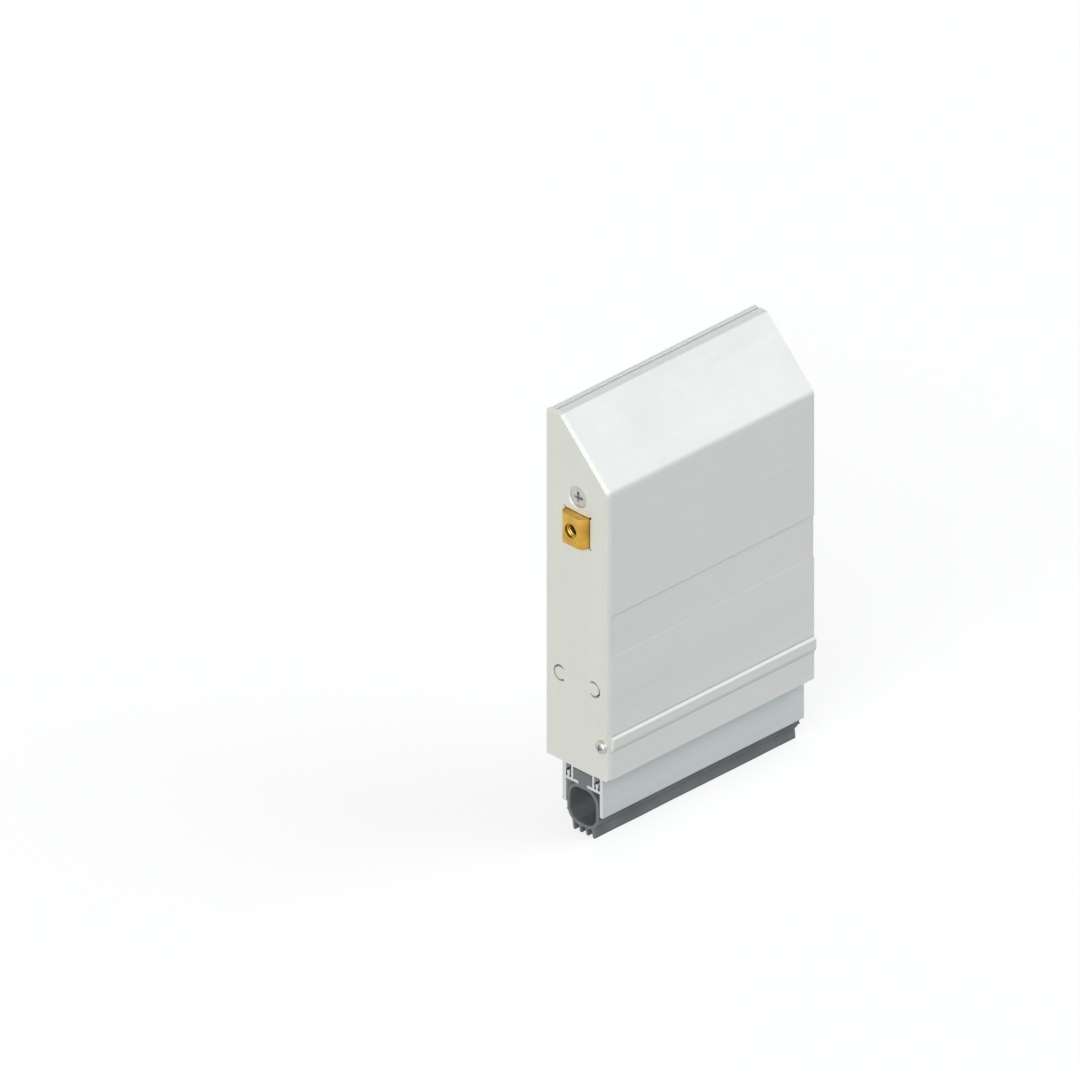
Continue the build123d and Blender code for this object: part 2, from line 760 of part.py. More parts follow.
def hanger(x):
    """Fork with a foot held in the bar's rail and two cheeks that straddle the cam plate."""
    foot_top = rail_floor + rail_height - rail_bead - hanger_fit
    top = pin_level + cheek_top
    section = slab(rail_back + hanger_fit, rail_front - hanger_fit, rail_floor, foot_top)
    section += slab(centre - cheek_out, centre + cheek_out, rail_floor, top)
    section -= slab(centre - cheek_in, centre + cheek_in, hanger_saddle, top + overlap)
    body = run(section, x - hanger_length / 2, x + hanger_length / 2)
    round_top = body.edges().filter_by(Axis.Y).group_by(Axis.Z)[-1]
    body = fillet(round_top, cheek_round)
    return body - across(0, pin_level, x, pin_diameter / 2 + pin_clearance, housing_depth)


def hanger_pin(x):
    """Headed pin through a hanger and its cam slot."""
    start = centre - cheek_out - rivet_proud
    shank = across(start, pin_level, x, pin_diameter / 2, 2 * cheek_out + rivet_proud)
    head = across(centre + cheek_out, pin_level, x, pin_head / 2, pin_head_height)
    return shank + head


nodes = {
    "back_extrusion": back_extrusion(),
    "front_cover": front_cover(),
    "mechanism_channel": mechanism_channel(),
    "end_plate": end_plate(),
    "end_plate_screw": end_plate_screw(),
    "cover_screw": cover_screw(),
    "spring_stop": spring_stop(),
    "stop_grub_screw": stop_grub_screw(),
    "plunger_block": plunger_block(),
    "adjusting_screw": adjusting_screw(),
    "slide_bar": slide_bar(),
    "return_spring": return_spring(),
    "drop_bar": drop_bar(),
    "rear_glide_strip": rear_glide_strip(),
    "front_glide_strip": front_glide_strip(),
    "bulb_gasket": bulb_gasket(),
    "near_hanger": hanger(pin_near),
    "far_hanger": hanger(pin_far),
    "near_hanger_pin": hanger_pin(pin_near),
    "far_hanger_pin": hanger_pin(pin_far),
}

os.makedirs("parts", exist_ok=True)
for name, solid in nodes.items():
    export_step(solid, f"parts/{name}.step")
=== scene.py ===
"""Automatic door bottom seal: a sloped aluminium housing with its end plate, brass plunger and drop bar."""
import json
import math

import bmesh
import bpy
from mathutils import Matrix, Vector
from mathutils import noise as field


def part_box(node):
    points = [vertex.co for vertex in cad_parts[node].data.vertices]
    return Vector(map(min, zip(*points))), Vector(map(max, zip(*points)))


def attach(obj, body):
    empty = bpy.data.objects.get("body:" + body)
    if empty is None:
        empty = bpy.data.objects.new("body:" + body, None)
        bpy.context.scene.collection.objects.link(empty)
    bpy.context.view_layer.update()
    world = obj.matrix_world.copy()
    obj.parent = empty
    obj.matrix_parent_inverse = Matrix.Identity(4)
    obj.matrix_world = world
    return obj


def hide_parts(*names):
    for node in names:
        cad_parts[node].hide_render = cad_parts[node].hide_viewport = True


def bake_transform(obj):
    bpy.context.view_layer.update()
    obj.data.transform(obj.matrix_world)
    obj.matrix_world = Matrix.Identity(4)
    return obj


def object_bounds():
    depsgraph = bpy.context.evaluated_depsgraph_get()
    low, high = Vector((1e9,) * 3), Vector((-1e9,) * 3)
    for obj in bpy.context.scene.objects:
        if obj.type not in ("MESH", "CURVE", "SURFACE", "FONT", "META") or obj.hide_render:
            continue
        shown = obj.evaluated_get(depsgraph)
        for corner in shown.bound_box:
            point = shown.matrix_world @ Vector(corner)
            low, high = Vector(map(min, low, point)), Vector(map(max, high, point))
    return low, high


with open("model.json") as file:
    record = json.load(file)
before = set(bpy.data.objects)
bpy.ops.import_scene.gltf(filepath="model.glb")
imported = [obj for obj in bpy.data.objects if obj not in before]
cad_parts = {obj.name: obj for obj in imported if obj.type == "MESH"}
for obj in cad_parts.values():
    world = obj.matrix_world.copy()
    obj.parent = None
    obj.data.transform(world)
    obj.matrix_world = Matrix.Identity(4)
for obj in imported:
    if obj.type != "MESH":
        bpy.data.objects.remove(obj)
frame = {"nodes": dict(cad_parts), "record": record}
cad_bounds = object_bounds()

MM = 0.001
NODES = frame["nodes"]
SEAL_LOW = cad_bounds[0]
HOUSING_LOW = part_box("back_extrusion")[0]

# Corners that are nearer than this, in metres, are joined
JOIN_WITHIN = 2e-6
SCREW_JOIN_WITHIN = 1e-6
NO_LENGTH = 1e-7

# Angles in degrees: up to which a face counts as flat, and from which an edge is rounded or shades sharp
FLAT_WITHIN = 0.4
ROUNDED_FROM = 35.0
SHARP_FROM = 50.0
SCREW_SHARP_FROM = 38.0
WIRE_SHARP_FROM = 60.0
THREAD_SHARP_FROM = 30.0
ROUND_STEPS = 2

# Radius that each node's hard edges get, in millimetres
EDGE_RADII = {
    "back_extrusion": 0.12,
    "front_cover": 0.15,
    "mechanism_channel": 0.1,
    "end_plate": 0.14,
    "spring_stop": 0.15,
    "stop_grub_screw": 0.06,
    "plunger_block": 0.18,
    "adjusting_screw": 0.08,
    "slide_bar": 0.12,
    "drop_bar": 0.1,
    "rear_glide_strip": 0.1,
    "front_glide_strip": 0.1,
    "near_hanger": 0.12,
    "far_hanger": 0.12,
    "near_hanger_pin": 0.08,
    "far_hanger_pin": 0.08,
}

# Screw heads, as distances from the top of the head and radii down to the shank, in millimetres
COUNTERSUNK_HEAD = [
    (0.0, 0.0), (0.0, 3.95), (0.04, 4.02), (0.12, 4.05), (2.6, 1.62), (2.75, 1.49), (3.0, 1.45),
]
PAN_HEAD = [
    (0.0, 0.0), (0.01, 0.7), (0.06, 1.3), (0.2, 1.75), (0.45, 2.1), (0.8, 2.32), (1.2, 2.4), (1.68, 2.4),
    (1.78, 2.36), (1.8, 2.28), (1.8, 1.4), (1.9, 1.35),
]
SCREW_SIDES = 48
SCREW_TIP = 0.2

# Screws: node, head, width and depth of the cross recess, in millimetres
SCREWS = (
    ("end_plate_screw", COUNTERSUNK_HEAD, 4.4, 2.0),
    ("cover_screw", PAN_HEAD, 2.8, 1.3),
)

# What a cross recess keeps at its foot of its arms' reach and of their thickness
RECESS_REACH_LEFT = 0.45
RECESS_THICKNESS_LEFT = 0.7

# Threads: node, start under the top of the head, pitch, core radius and ridge, in millimetres
SCREW_THREADS = (
    ("end_plate_screw", 3.6, 1.35, 1.45, 0.45),
    ("cover_screw", 2.3, 1.1, 1.35, 0.38),
)
THREAD_END = 0.6
THREAD_SIDES = 4
BORE_THREAD_START = 0.7
BORE_THREAD_LENGTH = 2.0
BORE_THREAD_TURNS = 2.5
BORE_RADIUS = 2.75
BORE_THREAD_RIDGE = 0.22

# Return spring, in millimetres
SPRING_WIRE = 0.8
SPRING_RADIUS = 3.0
SPRING_TURNS = 5.5
SPRING_CLOSING = 0.45
SPRING_SIDES = 12

# Gasket, in millimetres: how far under the housing's foot the bar lets go of it, how it waves and ripples
# below that, and how uneven a knife left its ends. The lips' tips and the ends keep their level.
GASKET_HELD_UNDER = 8.5
GASKET_EDGE = 0.18
GASKET_CUTS = 56
GASKET_WAVE = 0.11
GASKET_RIPPLE_ACROSS = 0.03
GASKET_RIPPLE_UP = 0.04
GASKET_LIP = 1.0
GASKET_END = 0.5
GASKET_KNIFE = 0.07
GASKET_KNIFE_REACH = 0.3

# Studio
VIEW_WIDTH = 0.36486
AMBIENT = 0.3
FLOOR_REACH = 6.0
FLOOR_TONE = 0.36
FLOOR_GAP = 0.00002
FLOOR_GLOW = 0.72


def put(tree, kind, inputs=None, **options):
    """Add a node to a tree, set its options, and fill its inputs with values or with other nodes' outputs."""
    node = tree.nodes.new(kind)
    for name, value in options.items():
        setattr(node, name, value)
    for name, value in (inputs or {}).items():
        if isinstance(value, bpy.types.NodeSocket):
            tree.links.new(value, node.inputs[name])
        else:
            node.inputs[name].default_value = value
    return node


def math_node(tree, operation, first, second=0.0):
    """Add a Math node and give its result."""
    return put(tree, "ShaderNodeMath", {0: first, 1: second}, operation=operation).outputs[0]


def product(tree, first, second):
    """Multiply two values, of which either may be a node's output."""
    return math_node(tree, "MULTIPLY", first, second)


def total(tree, first, second):
    """Add two values, of which either may be a node's output."""
    return math_node(tree, "ADD", first, second)


def remap(tree, value, low, high, to_low=0.0, to_high=1.0):
    """Add a clamped Map Range node and give its result."""
    inputs = {"Value": value, "From Min": low, "From Max": high, "To Min": to_low, "To Max": to_high}
    return put(tree, "ShaderNodeMapRange", inputs).outputs["Result"]


def noise(tree, place, scale, detail=2.0, roughness=0.5):
    """Add a Noise Texture and give its value."""
    inputs = {"Vector": place, "Scale": scale, "Detail": detail, "Roughness": roughness}
    return put(tree, "ShaderNodeTexNoise", inputs).outputs["Fac"]


def object_place(tree):
    """Give the place on the object, in metres."""
    return put(tree, "ShaderNodeTexCoord").outputs["Object"]


def apart(tree, vector):
    """Give a vector's X, Y and Z."""
    return put(tree, "ShaderNodeSeparateXYZ", {"Vector": vector}).outputs


def stretched(tree, scale):
    """Object coordinates, stretched for a pattern that runs one way."""
    return put(tree, "ShaderNodeMapping", {"Vector": object_place(tree), "Scale": scale}).outputs["Vector"]


def distance_from_axis(tree, side, height):
    """Distance from a line along X."""
    squares = total(tree, math_node(tree, "POWER", side, 2.0), math_node(tree, "POWER", height, 2.0))
    return math_node(tree, "SQRT", squares)


def new_group(name, inputs, outputs):
    """Make a shader node group with float sockets, and give its tree, its input node and its output node."""
    tree = bpy.data.node_groups.new(name, "ShaderNodeTree")
    for label, value in inputs.items():
        socket = tree.interface.new_socket(label, in_out="INPUT", socket_type="NodeSocketFloat")
        socket.default_value = value
    for label in outputs:
        tree.interface.new_socket(label, in_out="OUTPUT", socket_type="NodeSocketFloat")
    return tree, tree.nodes.new("NodeGroupInput"), tree.nodes.new("NodeGroupOutput")


def draw_lines_group():
    """Fine straight lines that a die or a belt leaves along a metal surface."""
    tree, given, result = new_group("draw_lines", {"Fineness": 900.0, "Length": 4.0}, ["Lines", "Bands"])
    parts = apart(tree, object_place(tree))
    across_y = product(tree, parts["Y"], given.outputs["Fineness"])
    across_z = product(tree, parts["Z"], given.outputs["Fineness"])
    along_x = product(tree, parts["X"], given.outputs["Length"])
    drawn = put(tree, "ShaderNodeCombineXYZ", {"X": along_x, "Y": across_y, "Z": across_z}).outputs[0]
    tree.links.new(noise(tree, drawn, 1.0, 4.0, 0.62), result.inputs["Lines"])
    tree.links.new(noise(tree, drawn, 0.09, 2.0, 0.5), result.inputs["Bands"])
    return tree


def cut_end_group():
    """Curved saw marks on the faces that were cut across the length, with a mask for those faces."""
    tree, given, result = new_group("cut_end", {"Pitch": 0.55, "Blade": 0.14}, ["Marks", "Mask"])
    coordinates = put(tree, "ShaderNodeTexCoord").outputs
    parts = apart(tree, coordinates["Object"])
    facing = math_node(tree, "ABSOLUTE", apart(tree, coordinates["Normal"])["X"])
    side = total(tree, parts["Y"], given.outputs["Blade"])
    radius = distance_from_axis(tree, side, parts["Z"])
    wobble = noise(tree, stretched(tree, (0.0, 60.0, 60.0)), 1.0, 2.0)
    turns = math_node(tree, "DIVIDE", product(tree, radius, 1.0 / MM), given.outputs["Pitch"])
    wave = math_node(tree, "SINE", product(tree, total(tree, turns, wobble), 2 * math.pi))
    grain = noise(tree, stretched(tree, (0.0, 900.0, 900.0)), 1.0, 3.0)
    tree.links.new(product(tree, total(tree, wave, 1.0), grain), result.inputs["Marks"])
    tree.links.new(remap(tree, facing, 0.9, 0.97), result.inputs["Mask"])
    return tree


def edge_wear_and_highlight_group():
    """Mask for the metal's outer edges, broken up as rubbing leaves it; it lightens them as real wear and as
    a painted highlight.
    """
    tree, given, result = new_group("edge_wear_and_highlight", {"Width": 0.35, "Patchiness": 220.0}, ["Mask"])
    width = product(tree, given.outputs["Width"], MM)
    rounded = put(tree, "ShaderNodeBevel", {"Radius": width}, samples=4).outputs["Normal"]
    flat = put(tree, "ShaderNodeNewGeometry").outputs["True Normal"]
    agreement = put(tree, "ShaderNodeVectorMath", {0: rounded, 1: flat}, operation="DOT_PRODUCT")
    edge = remap(tree, agreement.outputs["Value"], 0.995, 0.86)
    patches = noise(tree, object_place(tree), given.outputs["Patchiness"], 3.0)
    kept = remap(tree, patches, 0.38, 0.62, 0.35, 1.0)
    tree.links.new(product(tree, edge, kept), result.inputs["Mask"])
    return tree


def painted_corner_shade_group():
    """Mask for a surface's own inner corners, which it darkens as painted shade in a thin line."""
    tree, given, result = new_group("painted_corner_shade", {"Width": 0.9}, ["Mask"])
    reach = product(tree, given.outputs["Width"], MM)
    # the occluded inner corners become the mask for painted shade
    shelter = put(tree, "ShaderNodeAmbientOcclusion", {"Distance": reach}, samples=16, only_local=True)
    tree.links.new(remap(tree, shelter.outputs["AO"], 0.93, 0.76), result.inputs["Mask"])
    return tree


def handling_group():
    """Faint cloudy marks from handling, as a colour mask and as a change of gloss."""
    tree, given, result = new_group("handling", {"Size": 38.0}, ["Haze", "Gloss"])
    place = object_place(tree)
    haze = noise(tree, place, given.outputs["Size"], 5.0, 0.58)
    fine = noise(tree, place, product(tree, given.outputs["Size"], 9.0), 3.0, 0.6)
    tree.links.new(remap(tree, haze, 0.35, 0.7), result.inputs["Haze"])
    tree.links.new(total(tree, product(tree, haze, 0.6), product(tree, fine, 0.4)), result.inputs["Gloss"])
    return tree


def grain_group():
    """Very fine even grain, as etching, plating or moulding leaves it."""
    tree, given, result = new_group("grain", {"Fineness": 5200.0}, ["Grain", "Coarse"])
    place = object_place(tree)
    tree.links.new(noise(tree, place, given.outputs["Fineness"], 2.0, 0.6), result.inputs["Grain"])
    coarse = noise(tree, place, product(tree, given.outputs["Fineness"], 0.18), 3.0, 0.6)
    tree.links.new(coarse, result.inputs["Coarse"])
    return tree


GROUPS = {
    "draw_lines": draw_lines_group(),
    "cut_end": cut_end_group(),
    "edge_wear_and_highlight": edge_wear_and_highlight_group(),
    "painted_corner_shade": painted_corner_shade_group(),
    "handling": handling_group(),
    "grain": grain_group(),
}


def effect(tree, name, **values):
    """Place one of the shared groups in a material, with its own values, and give its outputs."""
    node = put(tree, "ShaderNodeGroup", node_tree=GROUPS[name])
    for label, value in values.items():
        node.inputs[label].default_value = value
    return node.outputs


def blend_colour(tree, amount, first, second):
    """Mix two colours by a changing amount and give the result."""
    node = put(tree, "ShaderNodeMix", {0: amount, 6: first, 7: second}, data_type="RGBA")
    return node.outputs[2]


def srgb(red, green, blue):
    """Linear colour from the eight-bit values that a picture shows."""
    def linear(value):
        share = value / 255
        return share / 12.92 if share <= 0.04045 else ((share + 0.055) / 1.055) ** 2.4
    return (linear(red), linear(green), linear(blue), 1.0)


def new_material(name, metallic, **settings):
    """Make a material and give it with its tree and its shader, whose plain values are set on its sockets."""
    material = bpy.data.materials.new(name)
    material.use_nodes = True
    tree = material.node_tree
    shader = tree.nodes["Principled BSDF"]
    shader.inputs["Metallic"].default_value = metallic
    for label, value in settings.items():
        shader.inputs[label.replace("_", " ")].default_value = value
    return material, tree, shader


def finish_surface(tree, shader, colour, roughness, height, relief):
    """Link a surface's colour and roughness to its shader, and its bump with a relief in millimetres."""
    tree.links.new(colour, shader.inputs["Base Color"])
    tree.links.new(roughness, shader.inputs["Roughness"])
    bump = put(tree, "ShaderNodeBump", {"Strength": 1.0, "Distance": relief * MM, "Height": height})
    tree.links.new(bump.outputs["Normal"], shader.inputs["Normal"])


def extruded_aluminium(name, body, bright, haze, metallic, roughness):
    """Extruded and anodised aluminium: die lines, sawn ends, rubbed edges with a painted highlight, painted
    shade in its inner corners, and handling.
    """
    material, tree, shader = new_material(name, metallic, Specular_IOR_Level=0.45)
    lines = effect(tree, "draw_lines", Fineness=1100.0, Length=3.0)
    cut = effect(tree, "cut_end", Pitch=0.34, Blade=0.16)
    wear_and_highlight = effect(tree, "edge_wear_and_highlight", Width=0.35, Patchiness=260.0)
    corner_shade = effect(tree, "painted_corner_shade", Width=0.9)
    marks = effect(tree, "handling", Size=34.0)
    grain = effect(tree, "grain", Fineness=5200.0)
    colour = blend_colour(tree, remap(tree, lines["Bands"], 0.35, 0.65, 0.0, 0.3), body, haze)
    colour = blend_colour(tree, remap(tree, lines["Lines"], 0.5, 0.8, 0.0, 0.3), colour, bright)
    colour = blend_colour(tree, remap(tree, marks["Haze"], 0.2, 1.0, 0.0, 0.16), colour, haze)
    sawn = product(tree, cut["Mask"], remap(tree, cut["Marks"], 0.1, 1.3, 0.3, 0.75))
    colour = blend_colour(tree, sawn, colour, bright)
    # edges lightened partly as wear and partly as a painted highlight
    colour = blend_colour(tree, product(tree, wear_and_highlight["Mask"], 0.55), colour, bright)
    # painted shade: a dark grey laid into the surface's own inner corners where occlusion finds them
    colour = blend_colour(tree, product(tree, corner_shade["Mask"], 0.95), colour, srgb(98, 100, 98))
    rough = remap(tree, lines["Lines"], 0.3, 0.7, roughness - 0.05, roughness + 0.05)
    rough = total(tree, rough, remap(tree, marks["Gloss"], 0.3, 0.7, -0.04, 0.06))
    rough = math_node(tree, "SUBTRACT", rough, product(tree, cut["Mask"], 0.08))
    height = total(tree, product(tree, lines["Lines"], 0.5), product(tree, grain["Grain"], 0.25))
    height = total(tree, height, product(tree, cut["Mask"], product(tree, cut["Marks"], 0.8)))
    finish_surface(tree, shader, colour, rough, height, 0.02)
    return material


def plate_finish():
    """Satin coated end plate: an even pale coat with a fine vertical grain and edges lightened as wear and as
    a painted highlight.
    """
    material, tree, shader = new_material("end_plate_satin", 0.15, Specular_IOR_Level=0.5, Coat_Weight=0.12)
    brushed = noise(tree, stretched(tree, (60.0, 2600.0, 14.0)), 1.0, 4.0, 0.62)
    wear_and_highlight = effect(tree, "edge_wear_and_highlight", Width=0.3, Patchiness=340.0)
    marks = effect(tree, "handling", Size=46.0)
    grain = effect(tree, "grain", Fineness=4200.0)
    brush_lines = remap(tree, brushed, 0.3, 0.7, 0.0, 0.3)
    colour = blend_colour(tree, brush_lines, srgb(230, 231, 223), srgb(216, 217, 209))
    colour = blend_colour(tree, remap(tree, marks["Haze"], 0.3, 1.0, 0.0, 0.2), colour, srgb(212, 213, 206))
    # edges lightened partly as wear and partly as a painted highlight
    colour = blend_colour(tree, product(tree, wear_and_highlight["Mask"], 0.6), colour, srgb(240, 240, 236))
    rough = remap(tree, brushed, 0.3, 0.7, 0.36, 0.46)
    rough = total(tree, rough, remap(tree, marks["Gloss"], 0.3, 0.7, -0.05, 0.07))
    height = total(tree, product(tree, brushed, 0.5), product(tree, grain["Coarse"], 0.4))
    finish_surface(tree, shader, colour, rough, height, 0.01)
    return material


def brass_finish():
    """Machined brass: facing marks round the bore on its end and milled lines along its sides."""
    material, tree, shader = new_material("machined_brass", 0.8)
    low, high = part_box("plunger_block")
    middle = (low + high) / 2
    to_bore = {"Vector": object_place(tree), "Location": (0.0, -middle.y, -middle.z)}
    parts = apart(tree, put(tree, "ShaderNodeMapping", to_bore).outputs["Vector"])
    radians_per_metre = 26000.0
    from_bore = distance_from_axis(tree, parts["Y"], parts["Z"])
    rings = math_node(tree, "SINE", product(tree, from_bore, radians_per_metre))
    facing = effect(tree, "cut_end", Pitch=0.5, Blade=0.14)["Mask"]
    lines = effect(tree, "draw_lines", Fineness=2300.0, Length=40.0)["Lines"]
    wear_and_highlight = effect(tree, "edge_wear_and_highlight", Width=0.3, Patchiness=500.0)
    marks = effect(tree, "handling", Size=160.0)
    tool = total(tree, product(tree, rings, product(tree, facing, 0.5)), lines)
    colour = blend_colour(tree, remap(tree, marks["Haze"], 0.1, 0.9), srgb(222, 178, 78), srgb(190, 146, 54))
    # edges lightened partly as wear and partly as a painted highlight
    colour = blend_colour(tree, product(tree, wear_and_highlight["Mask"], 0.7), colour, srgb(246, 214, 128))
    rough = remap(tree, tool, 0.0, 1.2, 0.24, 0.38)
    rough = total(tree, rough, remap(tree, marks["Gloss"], 0.3, 0.7, -0.04, 0.08))
    finish_surface(tree, shader, colour, rough, tool, 0.02)
    return material


def finished_steel(name, pale, shade, roughness):
    """Plated, drawn or blackened steel: a cloudy grain with edges brightened as wear and as a painted
    highlight.
    """
    material, tree, shader = new_material(name, 0.85)
    grain = effect(tree, "grain", Fineness=3600.0)
    wear_and_highlight = effect(tree, "edge_wear_and_highlight", Width=0.2, Patchiness=700.0)
    marks = effect(tree, "handling", Size=240.0)
    colour = blend_colour(tree, marks["Haze"], pale, shade)
    # edges lightened partly as wear and partly as a painted highlight
    colour = blend_colour(tree, product(tree, wear_and_highlight["Mask"], 0.6), colour, srgb(232, 233, 232))
    rough = remap(tree, grain["Coarse"], 0.3, 0.7, roughness - 0.06, roughness + 0.06)
    rough = total(tree, rough, remap(tree, marks["Gloss"], 0.3, 0.7, -0.05, 0.05))
    finish_surface(tree, shader, colour, rough, grain["Coarse"], 0.012)
    return material


def gasket_rubber():
    """Extruded rubber: matt, with faint flow lines along it, a bloom on the skin, and paler sliced ends."""
    material, tree, shader = new_material("gasket_rubber", 0.0, Specular_IOR_Level=0.35)
    lines = effect(tree, "draw_lines", Fineness=1500.0, Length=9.0)
    marks = effect(tree, "handling", Size=120.0)
    grain = effect(tree, "grain", Fineness=2600.0)
    wear_and_highlight = effect(tree, "edge_wear_and_highlight", Width=0.25, Patchiness=420.0)
    sliced = effect(tree, "cut_end", Pitch=0.8, Blade=0.1)["Mask"]
    flow = remap(tree, lines["Lines"], 0.35, 0.7, 0.0, 0.35)
    colour = blend_colour(tree, marks["Haze"], srgb(95, 98, 102), srgb(117, 120, 124))
    colour = blend_colour(tree, flow, colour, srgb(132, 136, 140))
    # edges lightened partly as wear and partly as a painted highlight
    colour = blend_colour(tree, product(tree, wear_and_highlight["Mask"], 0.35), colour, srgb(156, 159, 163))
    colour = blend_colour(tree, product(tree, sliced, 0.45), colour, srgb(136, 137, 134))
    rough = remap(tree, marks["Gloss"], 0.3, 0.7, 0.58, 0.78)
    height = total(tree, product(tree, lines["Lines"], 0.6), product(tree, grain["Coarse"], 0.6))
    finish_surface(tree, shader, colour, rough, height, 0.03)
    return material


def glide_plastic():
    """Dark hard-wearing plastic with a rubbed face."""
    material, tree, shader = new_material("glide_plastic", 0.0, Specular_IOR_Level=0.4)
    lines = effect(tree, "draw_lines", Fineness=1900.0, Length=12.0)
    marks = effect(tree, "handling", Size=150.0)
    grain = effect(tree, "grain", Fineness=3000.0)
    rubbed = remap(tree, lines["Lines"], 0.45, 0.75, 0.0, 0.4)
    colour = blend_colour(tree, marks["Haze"], srgb(70, 71, 66), srgb(88, 89, 82))
    colour = blend_colour(tree, rubbed, colour, srgb(112, 112, 104))
    rough = remap(tree, marks["Gloss"], 0.3, 0.7, 0.45, 0.65)
    finish_surface(tree, shader, colour, rough, grain["Coarse"], 0.02)
    return material


MATERIALS = {
    "housing_aluminium": extruded_aluminium(
        "anodised_housing", srgb(219, 221, 218), srgb(240, 241, 240), srgb(209, 211, 209), 0.2, 0.5
    ),
    "mill_aluminium": extruded_aluminium(
        "mill_aluminium", srgb(196, 199, 199), srgb(232, 234, 234), srgb(180, 184, 185), 0.4, 0.44
    ),
    "bar_aluminium": extruded_aluminium(
        "anodised_bar", srgb(208, 214, 214), srgb(236, 238, 238), srgb(190, 196, 197), 0.2, 0.5
    ),
    "end_plate": plate_finish(),
    "brass": brass_finish(),
    "plated_steel": finished_steel("zinc_plated_steel", srgb(206, 206, 202), srgb(176, 178, 178), 0.34),
    "spring_steel": finished_steel("spring_wire", srgb(168, 169, 170), srgb(132, 133, 136), 0.3),
    "dark_steel": finished_steel("black_oxide_steel", srgb(62, 62, 66), srgb(42, 42, 46), 0.4),
    "gasket_rubber": gasket_rubber(),
    "glide_strip": glide_plastic(),
}


def slot_of(node):
    """The material slot that the record gives a node."""
    for part in frame["record"]["subparts"]:
        if part["node"] == node:
            return part["material_slot"]
    raise ValueError(node)


def body_of(node):
    """The body that carries a node."""
    for body, members in frame["record"]["behaviour"]["bodies"].items():
        if node in members:
            return body
    raise ValueError(node)


def smooth(mesh, degrees):
    """Shade a mesh smooth, apart from its hard edges."""
    mesh.shade_smooth()
    mesh.set_sharp_from_angle(angle=math.radians(degrees))


def show_mesh(name, mesh):
    """Link a new object that shows a mesh."""
    piece = bpy.data.objects.new(name, mesh)
    bpy.context.scene.collection.objects.link(piece)
    return piece


def mesh_from(name, shape):
    """Turn a bmesh into a mesh and free it."""
    mesh = bpy.data.meshes.new(name)
    shape.to_mesh(mesh)
    shape.free()
    return mesh


def plain_mesh(piece):
    """Turn a piece's modifiers into a plain mesh and take them off."""
    plain = bpy.data.meshes.new_from_object(piece.evaluated_get(bpy.context.evaluated_depsgraph_get()))
    piece.modifiers.clear()
    piece.data = plain


def even_shading(piece):
    """Let a piece's large faces set the normals: they shade flat, and only their rounded edges turn."""
    weighted = piece.modifiers.new("even_shading", "WEIGHTED_NORMAL")
    weighted.mode = "FACE_AREA"
    weighted.weight = 100
    weighted.keep_sharp = True
    plain_mesh(piece)


def shaped_piece(name, shape, slot, sharp_from=SHARP_FROM):
    """Show a finished bmesh as a piece with the finish of its material slot."""
    mesh = mesh_from(name, shape)
    smooth(mesh, sharp_from)
    mesh.materials.clear()
    mesh.materials.append(MATERIALS[slot])
    piece = show_mesh(name, mesh)
    even_shading(piece)
    return piece


def merged_copy(node):
    """Copy a node's mesh with its corners joined and its flat faces whole."""
    shape = bmesh.new()
    shape.from_mesh(NODES[node].data)
    bmesh.ops.remove_doubles(shape, verts=shape.verts, dist=JOIN_WITHIN)
    bmesh.ops.dissolve_limit(
        shape, angle_limit=math.radians(FLAT_WITHIN), verts=shape.verts, edges=shape.edges
    )
    return shape


def round_edges(shape, radius):
    """Round a shape's hard edges."""
    limit = math.radians(ROUNDED_FROM)
    hard = [edge for edge in shape.edges if edge.is_manifold and edge.calc_face_angle() > limit]
    bmesh.ops.bevel(
        shape, geom=hard, offset=radius, segments=ROUND_STEPS, profile=0.5, affect="EDGES",
        clamp_overlap=True,
    )


def rounded_copy(node, radius):
    """Show a node with its hard edges rounded."""
    shape = merged_copy(node)
    round_edges(shape, radius)
    piece = shaped_piece(f"{node}_finished", shape, slot_of(node))
    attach(piece, body_of(node))
    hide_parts(node)


def turned(profile, centre):
    """Turn a profile of distances along X and radii round the line along X through the centre."""
    shape = bmesh.new()
    corners = [shape.verts.new((x, centre.y + radius, centre.z)) for x, radius in profile]
    edges = [shape.edges.new(pair) for pair in zip(corners, corners[1:])]
    bmesh.ops.spin(
        shape,
        geom=corners + edges,
        cent=(0.0, centre.y, centre.z),
        axis=(1.0, 0.0, 0.0),
        angle=2 * math.pi,
        steps=SCREW_SIDES,
    )
    bmesh.ops.remove_doubles(shape, verts=shape.verts, dist=SCREW_JOIN_WITHIN)
    bmesh.ops.dissolve_degenerate(shape, edges=shape.edges, dist=NO_LENGTH)
    bmesh.ops.recalc_face_normals(shape, faces=shape.faces)
    return shape


def cross_cutter(top, centre, width, depth):
    """Cross-shaped cutter for a screw's recess, whose arms shorten more than they thin towards its foot."""
    shape = bmesh.new()
    rings = []
    for x, foot in ((top - depth, -1.0), (top + depth, 1.0)):
        arm = width / 2 * (1.0 - foot * (1.0 - RECESS_REACH_LEFT))
        half = width / 8 * (1.0 - foot * (1.0 - RECESS_THICKNESS_LEFT))
        ring = []
        for cosine, sine in ((1, 0), (0, -1), (-1, 0), (0, 1)):
            for y, z in ((half, half), (arm, half), (arm, -half)):
                place = (x, centre.y + y * cosine - z * sine, centre.z + y * sine + z * cosine)
                ring.append(shape.verts.new(place))
        rings.append(ring)
    outer, inner = rings
    shape.faces.new(outer)
    shape.faces.new(reversed(inner))
    for corner, following in zip(range(-1, len(outer) - 1), range(len(outer))):
        shape.faces.new((outer[corner], inner[corner], inner[following], outer[following]))
    bmesh.ops.recalc_face_normals(shape, faces=shape.faces)
    return show_mesh("cross_cutter", mesh_from("cross_cutter", shape))


